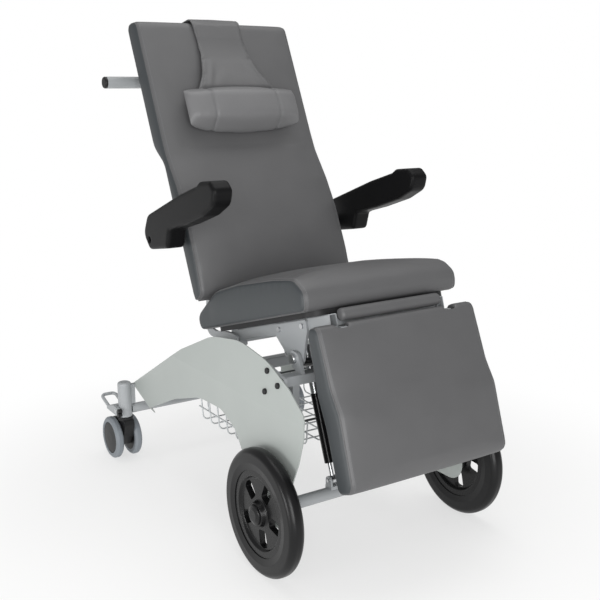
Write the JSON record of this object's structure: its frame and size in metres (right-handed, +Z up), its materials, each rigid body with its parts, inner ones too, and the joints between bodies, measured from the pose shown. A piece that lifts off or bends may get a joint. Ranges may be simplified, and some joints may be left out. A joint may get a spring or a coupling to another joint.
{
  "type": "patient transfer chair",
  "caption": "Tilting padded transfer chair with reclining back, leg rest, fold-up armrests and head pillow on a bent sheet chassis with large front wheels and twin casters.",
  "frame": {"origin": "on the floor under the middle of the chair's bounding box", "axes": "+Z up, -Y the way the patient faces, +X to the patient's left"},
  "size_m": [0.668, 1.1699, 1.2751],
  "materials": {
    "upholstery": "matt grained artificial leather, mid grey",
    "sheet_paint": "pale grey powder coat, satin",
    "frame_paint": "silver grey powder coat, satin",
    "bright_steel": "zinc plated and polished steel",
    "spring_black": "black gloss enamel on gas springs",
    "black_plastic": "black moulded plastic, fine texture",
    "arm_foam": "black integral-skin foam, satin",
    "wheel_plastic": "black moulded nylon, satin gloss",
    "tyre_black": "black solid tyre",
    "caster_grey": "grey non-marking rubber",
    "wire_grey": "bright zinc plated wire",
    "board_black": "black laminate board"
  },
  "bodies": {
    "chassis": {"side_panel_left": "sheet_paint", "side_panel_right": "sheet_paint", "front_axle_tube": "frame_paint", "stub_axles": "bright_steel", "crossbeam": "frame_paint", "panel_bolts": "black_plastic", "basket_frame": "frame_paint", "wire_basket": "wire_grey", "basket_clips": "black_plastic", "rear_frame": "frame_paint", "tilt_pins": "bright_steel", "strut_pins": "bright_steel"},
    "brake": {"brake_shaft": "bright_steel", "brake_pedal_left": "frame_paint", "brake_pedal_right": "frame_paint", "brake_stops": "black_plastic"},
    "seat": {"seat_side_left": "frame_paint", "seat_side_right": "frame_paint", "seat_cross_members": "frame_paint", "seat_board": "board_black", "tilt_plates": "frame_paint", "tilt_plate_bolts": "bright_steel", "knee_roll": "upholstery", "seat_cushion": "upholstery", "leg_spring_cylinder": "spring_black", "back_spring_cylinder": "spring_black"},
    "strut_foot": {"strut_rods": "bright_steel"},
    "strut_head": {"strut_cylinders": "spring_black", "strut_sleeves": "bright_steel"},
    "back": {"back_board": "board_black", "back_cushion": "upholstery", "back_frame": "frame_paint", "push_bar": "frame_paint", "push_bar_plugs": "black_plastic", "arm_brackets": "frame_paint", "headrest_flap": "upholstery"},
    "back_spring": {"back_spring_rod": "bright_steel"},
    "pillow": {"head_pillow": "upholstery"},
    "leg": {"leg_board": "board_black", "leg_arms": "frame_paint", "leg_cushion": "upholstery"},
    "leg_spring": {"leg_spring_rod": "bright_steel"},
    "front_wheel_left": {"front_tyre_left": "tyre_black", "front_wheel_left": "wheel_plastic", "hub_cap_left": "wheel_plastic"},
    "caster_left": {"caster_housing_left": "black_plastic"},
    "arm_left": {"armrest_left": "arm_foam"},
    "caster_wheel_outer_left": {"caster_tyre_outer_left": "caster_grey", "caster_hub_outer_left": "black_plastic"},
    "caster_wheel_inner_left": {"caster_tyre_inner_left": "caster_grey", "caster_hub_inner_left": "black_plastic"},
    "front_wheel_right": {"front_tyre_right": "tyre_black", "front_wheel_right": "wheel_plastic", "hub_cap_right": "wheel_plastic"},
    "caster_right": {"caster_housing_right": "black_plastic"},
    "arm_right": {"armrest_right": "arm_foam"},
    "caster_wheel_outer_right": {"caster_tyre_outer_right": "caster_grey", "caster_hub_outer_right": "black_plastic"},
    "caster_wheel_inner_right": {"caster_tyre_inner_right": "caster_grey", "caster_hub_inner_right": "black_plastic"}
  },
  "joints": [
    {"name": "seat_tilt", "type": "hinge", "parent": "chassis", "child": "seat", "pos_m": [0, -0.291, 0.481], "axis": [-1, 0, 0], "range_deg": [-17, 3]},
    {"name": "backrest_recline", "type": "hinge", "parent": "seat", "child": "back", "pos_m": [0, 0.002, 0.458], "axis": [-1, 0, 0], "range_deg": [0, 60]},
    {"name": "legrest_lift", "type": "hinge", "parent": "seat", "child": "leg", "pos_m": [0, -0.441, 0.575], "axis": [-1, 0, 0], "range_deg": [0, 70]},
    {"name": "headrest_slide", "type": "slide", "parent": "back", "child": "pillow", "axis": [0, 0.4226, 0.9063], "range_m": [0, 0.05], "deforming": ["headrest_flap"]},
    {"name": "strut_swing", "type": "hinge", "parent": "chassis", "child": "strut_foot", "pos_m": [0, -0.346, 0.183], "axis": [-1, 0, 0], "range_deg": [-4, 2]},
    {"name": "strut_travel", "type": "slide", "parent": "strut_foot", "child": "strut_head", "axis": [0, 0.3608, 0.9326], "range_m": [-0.006, 0.02]},
    {"name": "leg_spring_travel", "type": "slide", "parent": "seat", "child": "leg_spring", "axis": [0, -0.9563, 0.2924], "range_m": [-0.002, 0.08]},
    {"name": "back_spring_travel", "type": "slide", "parent": "seat", "child": "back_spring", "axis": [0, -0.9563, 0.2924], "range_m": [-0.002, 0.064]},
    {"name": "brake_press", "type": "hinge", "parent": "chassis", "child": "brake", "pos_m": [0, 0.456, 0.154], "axis": [-1, 0, 0], "range_deg": [0, 10]},
    {"name": "front_wheel_spin_left", "type": "hinge", "parent": "chassis", "child": "front_wheel_left", "pos_m": [0.298, -0.346, 0.15], "axis": [1, 0, 0], "continuous": true},
    {"name": "caster_swivel_left", "type": "hinge", "parent": "chassis", "child": "caster_left", "pos_m": [0.293, 0.456, 0.134], "axis": [0, 0, 1], "continuous": true},
    {"name": "caster_spin_outer_left", "type": "hinge", "parent": "caster_left", "child": "caster_wheel_outer_left", "pos_m": [0.322, 0.488, 0.0625], "axis": [1, 0, 0], "continuous": true},
    {"name": "caster_spin_inner_left", "type": "hinge", "parent": "caster_left", "child": "caster_wheel_inner_left", "pos_m": [0.264, 0.488, 0.0625], "axis": [1, 0, 0], "continuous": true},
    {"name": "armrest_fold_left", "type": "hinge", "parent": "back", "child": "arm_left", "pos_m": [0.29, 0.18507, 0.70507], "axis": [-1, 0, 0], "range_deg": [0, 95]},
    {"name": "front_wheel_spin_right", "type": "hinge", "parent": "chassis", "child": "front_wheel_right", "pos_m": [-0.298, -0.346, 0.15], "axis": [1, 0, 0], "continuous": true},
    {"name": "caster_swivel_right", "type": "hinge", "parent": "chassis", "child": "caster_right", "pos_m": [-0.293, 0.456, 0.134], "axis": [0, 0, 1], "continuous": true},
    {"name": "caster_spin_outer_right", "type": "hinge", "parent": "caster_right", "child": "caster_wheel_outer_right", "pos_m": [-0.322, 0.488, 0.0625], "axis": [1, 0, 0], "continuous": true},
    {"name": "caster_spin_inner_right", "type": "hinge", "parent": "caster_right", "child": "caster_wheel_inner_right", "pos_m": [-0.264, 0.488, 0.0625], "axis": [1, 0, 0], "continuous": true},
    {"name": "armrest_fold_right", "type": "hinge", "parent": "back", "child": "arm_right", "pos_m": [-0.29, 0.18507, 0.70507], "axis": [-1, 0, 0], "range_deg": [0, 95]}
  ],
  "couplings": [
    {"joint": "strut_swing", "follows": "seat_tilt", "ratio": 0.168},
    {"joint": "strut_travel", "follows": "seat_tilt", "m_per_rad": -0.0501},
    {"joint": "leg_spring_travel", "follows": "legrest_lift", "m_per_rad": 0.06368},
    {"joint": "back_spring_travel", "follows": "backrest_recline", "m_per_rad": 0.0573}
  ]
}
